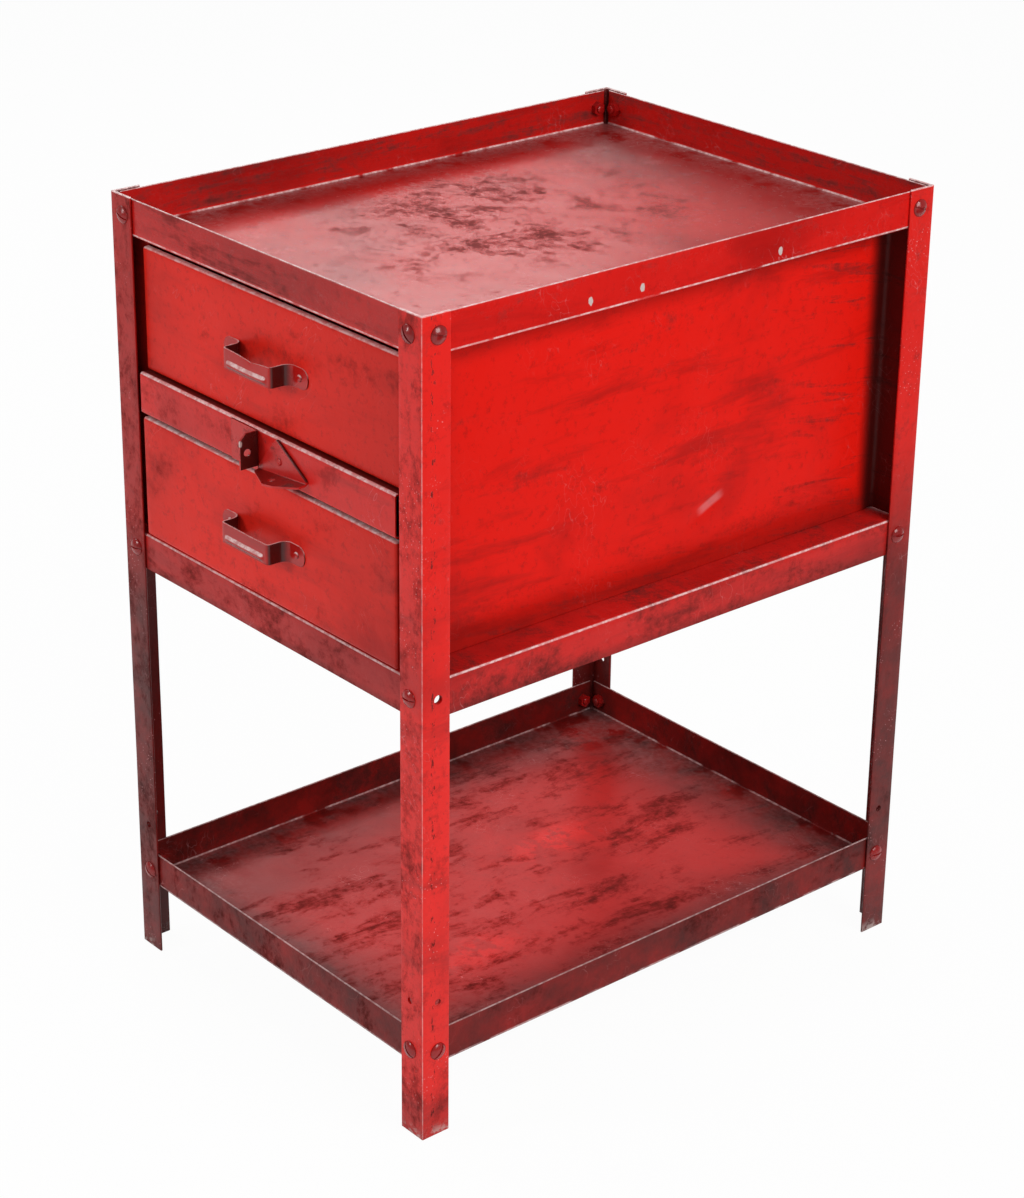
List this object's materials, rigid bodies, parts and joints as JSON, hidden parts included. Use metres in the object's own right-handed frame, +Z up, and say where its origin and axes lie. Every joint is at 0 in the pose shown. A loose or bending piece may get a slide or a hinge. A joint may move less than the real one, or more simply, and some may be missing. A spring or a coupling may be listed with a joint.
{
  "type": "steel tool stand",
  "caption": "Red enamelled steel tool stand with an open top tray, two lockable drawers with pressed pulls, and a lower shelf on angle-iron legs.",
  "frame": {"origin": "middle of the whole part's box in plan, on the floor", "axes": "+X to the right seen from the drawers, +Y towards the back, +Z up; the drawers open towards -Y"},
  "size_m": [0.468, 0.6434, 0.8],
  "materials": {
    "leg_enamel": "worn gloss enamel, chipped at the feet",
    "tray_enamel": "worn gloss enamel, rubbed pale on the floor",
    "base_enamel": "worn gloss enamel, browned",
    "shelf_enamel": "worn gloss enamel, dark with wear and scratches",
    "panel_enamel": "gloss enamel with fine scratches",
    "rail_enamel": "worn gloss enamel",
    "drawer_enamel": "gloss enamel",
    "box_paint": "thin enamel, rubbed inside",
    "runner_steel": "plain steel, dulled",
    "pull_enamel": "gloss enamel, bright on the bead",
    "lock_enamel": "worn gloss enamel",
    "fastener_enamel": "painted over with the stand"
  },
  "bodies": {
    "root": {"leg_front_left": "leg_enamel", "leg_front_right": "leg_enamel", "leg_rear_left": "leg_enamel", "leg_rear_right": "leg_enamel", "top_tray": "tray_enamel", "cabinet_base": "base_enamel", "lower_shelf": "shelf_enamel", "cabinet_side_left": "panel_enamel", "cabinet_side_right": "panel_enamel", "cabinet_back": "panel_enamel", "divider_rail": "rail_enamel", "upper_runner_left": "runner_steel", "upper_runner_right": "runner_steel", "lower_runner_left": "runner_steel", "lower_runner_right": "runner_steel", "padlock_ear": "lock_enamel", "latch_rivet": "fastener_enamel", "top_tray_bolts": "fastener_enamel", "cabinet_base_bolts": "fastener_enamel", "lower_shelf_bolts": "fastener_enamel", "top_tray_nuts": "fastener_enamel", "cabinet_base_nuts": "fastener_enamel", "lower_shelf_nuts": "fastener_enamel"},
    "upper_drawer": {"upper_drawer_front": "drawer_enamel", "upper_drawer_box": "box_paint", "upper_drawer_pull": "pull_enamel", "upper_drawer_pull_rivets": "fastener_enamel"},
    "lower_drawer": {"lower_drawer_front": "drawer_enamel", "lower_drawer_box": "box_paint", "lower_drawer_pull": "pull_enamel", "lower_drawer_pull_rivets": "fastener_enamel"},
    "lock_plate": {"latch_plate": "lock_enamel"}
  },
  "joints": [
    {"name": "upper_drawer_slide", "type": "slide", "parent": "root", "child": "upper_drawer", "axis": [0, -1, 0], "range_m": [0, 0.4]},
    {"name": "lower_drawer_slide", "type": "slide", "parent": "root", "child": "lower_drawer", "axis": [0, -1, 0], "range_m": [-0.007, 0.4]},
    {"name": "latch_turn", "type": "hinge", "parent": "root", "child": "lock_plate", "pos_m": [0.0305, -0.29825, 0.6116], "axis": [0, -1, 0], "range_deg": [0, 84.5]}
  ]
}
